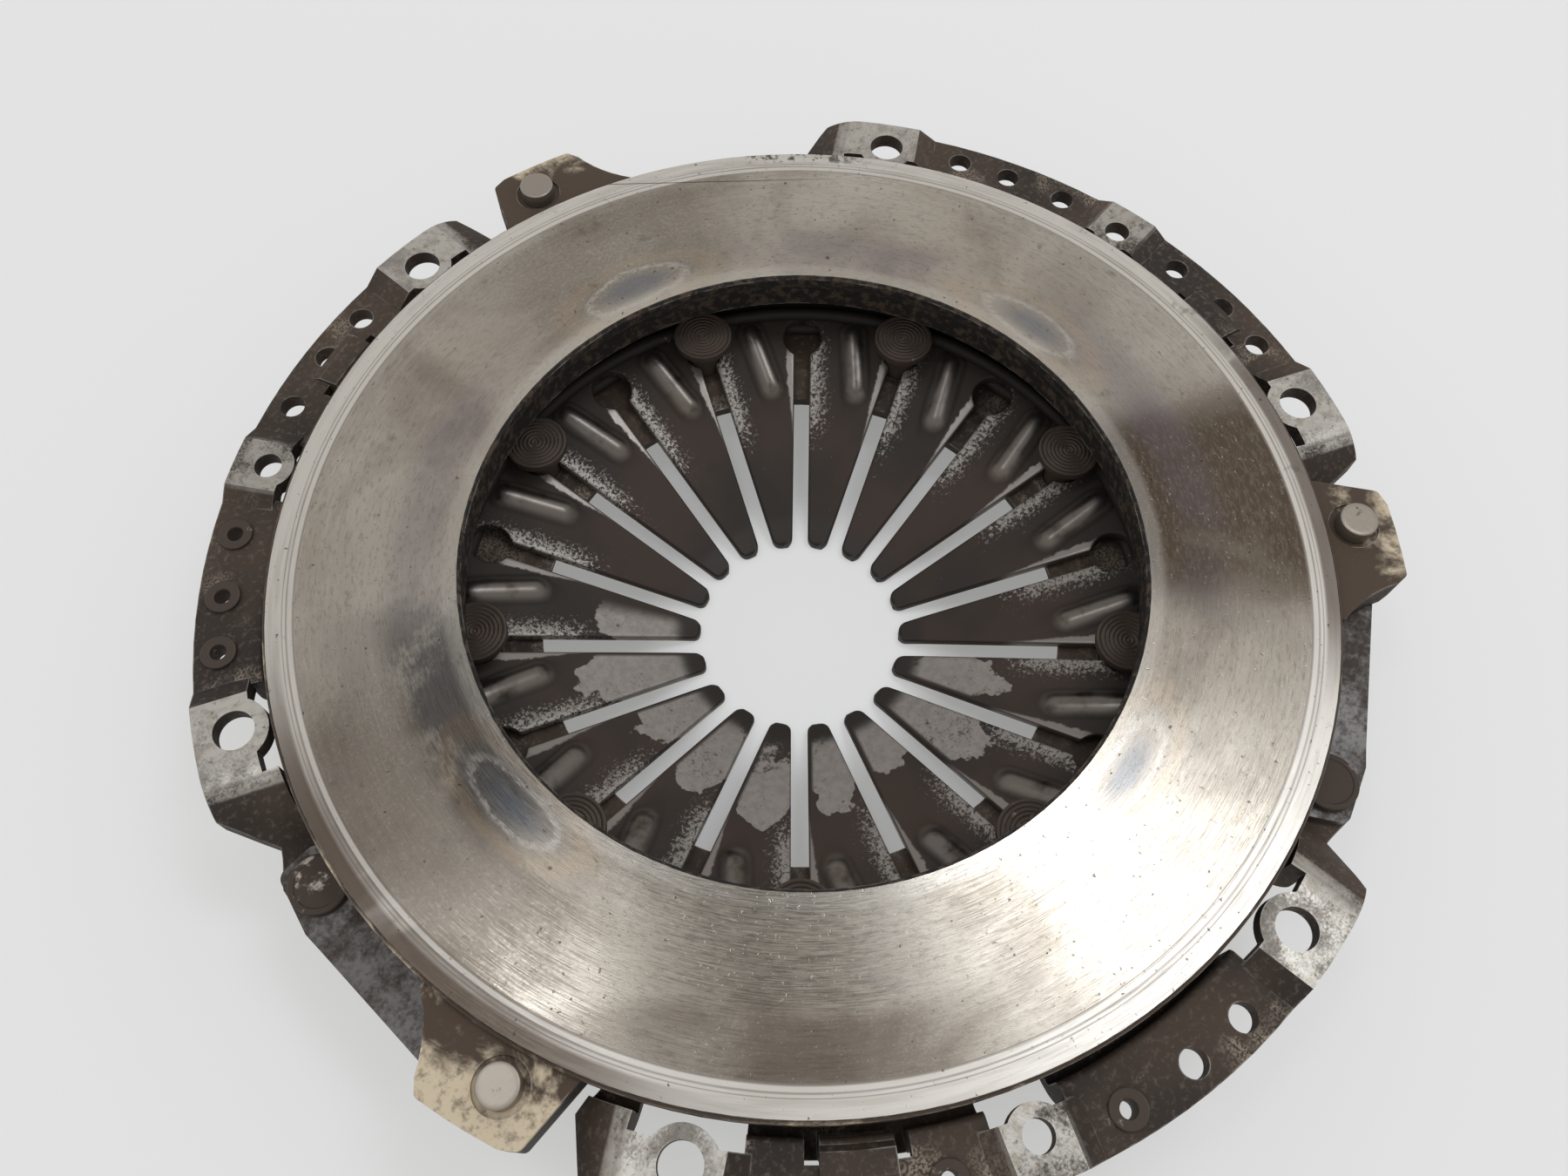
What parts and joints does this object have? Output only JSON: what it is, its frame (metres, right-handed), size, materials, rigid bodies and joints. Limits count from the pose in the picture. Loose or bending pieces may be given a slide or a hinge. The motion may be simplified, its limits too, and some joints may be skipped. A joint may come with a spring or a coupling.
{
  "type": "clutch pressure plate",
  "caption": "Diaphragm-spring clutch pressure plate: stamped cover with raised bolt pads, cast friction ring held by riveted drive straps, and slotted spring fingers.",
  "frame": {"origin": "on the axis, in the plane of the six bolt pads that seat on the flywheel", "axes": "+Z along the axis towards the flywheel and the friction face, +X through the centre of the first dowel hole"},
  "size_m": [0.2756, 0.278, 0.0509],
  "materials": {
    "cover_steel": "dark oxide, dusty, rubbed bright on the bolt pads",
    "cast_iron": "worn friction face with concentric marks and heat tint",
    "spring_steel": "dark with brown dust and rubbed streaks",
    "strap_steel": "speckled blue-grey",
    "wire_steel": "dull",
    "rivet_steel": "turned, lightly dusty"
  },
  "bodies": {
    "cover": {"cover": "cover_steel", "fulcrum_wire_upper": "wire_steel", "fulcrum_wire_lower": "wire_steel", "spacer_rivet_1": "rivet_steel", "spacer_rivet_2": "rivet_steel", "spacer_rivet_3": "rivet_steel", "spacer_rivet_4": "rivet_steel", "spacer_rivet_5": "rivet_steel", "spacer_rivet_6": "rivet_steel", "spacer_rivet_7": "rivet_steel", "spacer_rivet_8": "rivet_steel", "spacer_rivet_9": "rivet_steel", "strap_a_top_leaf": "strap_steel", "strap_a_middle_leaf": "strap_steel", "strap_a_bottom_leaf": "strap_steel", "strap_b_top_leaf": "strap_steel", "strap_b_middle_leaf": "strap_steel", "strap_b_bottom_leaf": "strap_steel", "strap_c_top_leaf": "strap_steel", "strap_c_middle_leaf": "strap_steel", "strap_c_bottom_leaf": "strap_steel", "strap_a_cover_rivet": "rivet_steel", "strap_b_cover_rivet": "rivet_steel", "strap_c_cover_rivet": "rivet_steel", "balance_rivet_1": "rivet_steel", "balance_rivet_2": "rivet_steel", "balance_rivet_3": "rivet_steel", "balance_rivet_4": "rivet_steel", "balance_rivet_5": "rivet_steel"},
    "pressure_plate": {"pressure_plate": "cast_iron", "strap_a_lug_rivet": "rivet_steel", "strap_b_lug_rivet": "rivet_steel", "strap_c_lug_rivet": "rivet_steel"},
    "diaphragm": {"diaphragm_spring": "spring_steel"}
  },
  "joints": [
    {"name": "plate_lift", "type": "slide", "parent": "cover", "child": "pressure_plate", "axis": [0, 0, 1], "range_m": [-0.007, 0], "stiffness_N_per_m": 40000, "springref_m": 0.008, "deforming": ["strap_a_top_leaf", "strap_a_middle_leaf", "strap_a_bottom_leaf", "strap_b_top_leaf", "strap_b_middle_leaf", "strap_b_bottom_leaf", "strap_c_top_leaf", "strap_c_middle_leaf", "strap_c_bottom_leaf"]},
    {"name": "finger_travel", "type": "slide", "parent": "pressure_plate", "child": "diaphragm", "axis": [0, 0, 1], "range_m": [0, 0.0292], "deforming": ["diaphragm_spring"]}
  ],
  "couplings": [
    {"joint": "finger_travel", "follows": "plate_lift", "ratio": -4.17}
  ]
}
